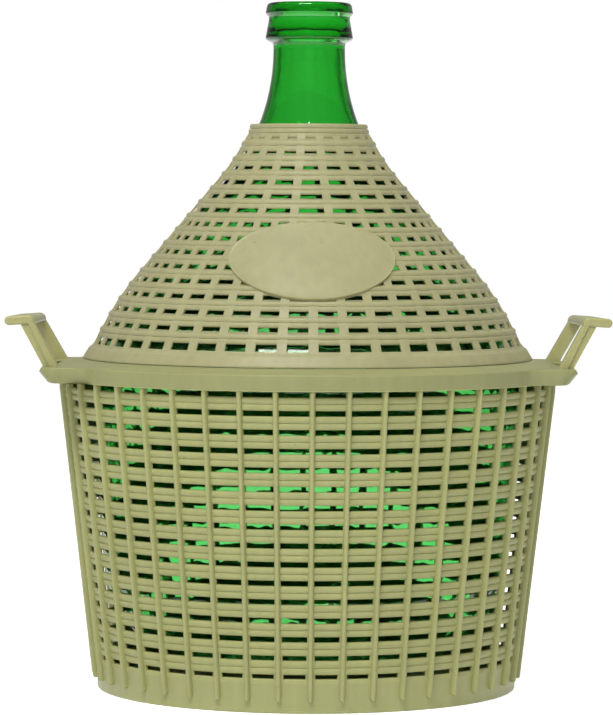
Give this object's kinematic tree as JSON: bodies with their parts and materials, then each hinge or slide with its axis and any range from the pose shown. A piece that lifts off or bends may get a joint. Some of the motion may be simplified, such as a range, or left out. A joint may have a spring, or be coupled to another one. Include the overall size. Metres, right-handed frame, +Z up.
{
  "type": "plastic-covered demijohn",
  "caption": "Green glass demijohn standing in a slotted, ribbed plastic basket with two side handles, under a slotted conical plastic cover.",
  "frame": {"origin": "middle of the basket's foot, on the surface that the demijohn stands on", "axes": "+Z up along the common axis of basket, vessel and cover; the oval plate faces -Y; the handles are at +X and -X"},
  "size_m": [0.3906, 0.33, 0.45],
  "materials": {
    "basket_plastic": "moulded satin polyethylene, beige",
    "cover_plastic": "moulded satin polyethylene, pale beige",
    "handle_plastic": "moulded polyethylene, yellowish and slightly translucent",
    "green_glass": "clear bright green bottle glass"
  },
  "bodies": {
    "basket_body": {"basket": "basket_plastic", "handle_left": "handle_plastic", "handle_right": "handle_plastic"},
    "vessel_body": {"glass_vessel": "green_glass"},
    "cover_body": {"cover": "cover_plastic"}
  },
  "joints": [
    {"name": "vessel_lift", "type": "slide", "parent": "basket_body", "child": "vessel_body", "axis": [0, 0, 1], "range_m": [0, 0.215]},
    {"name": "cover_lift", "type": "slide", "parent": "vessel_body", "child": "cover_body", "axis": [0, 0, 1], "range_m": [0, 0.245]}
  ]
}
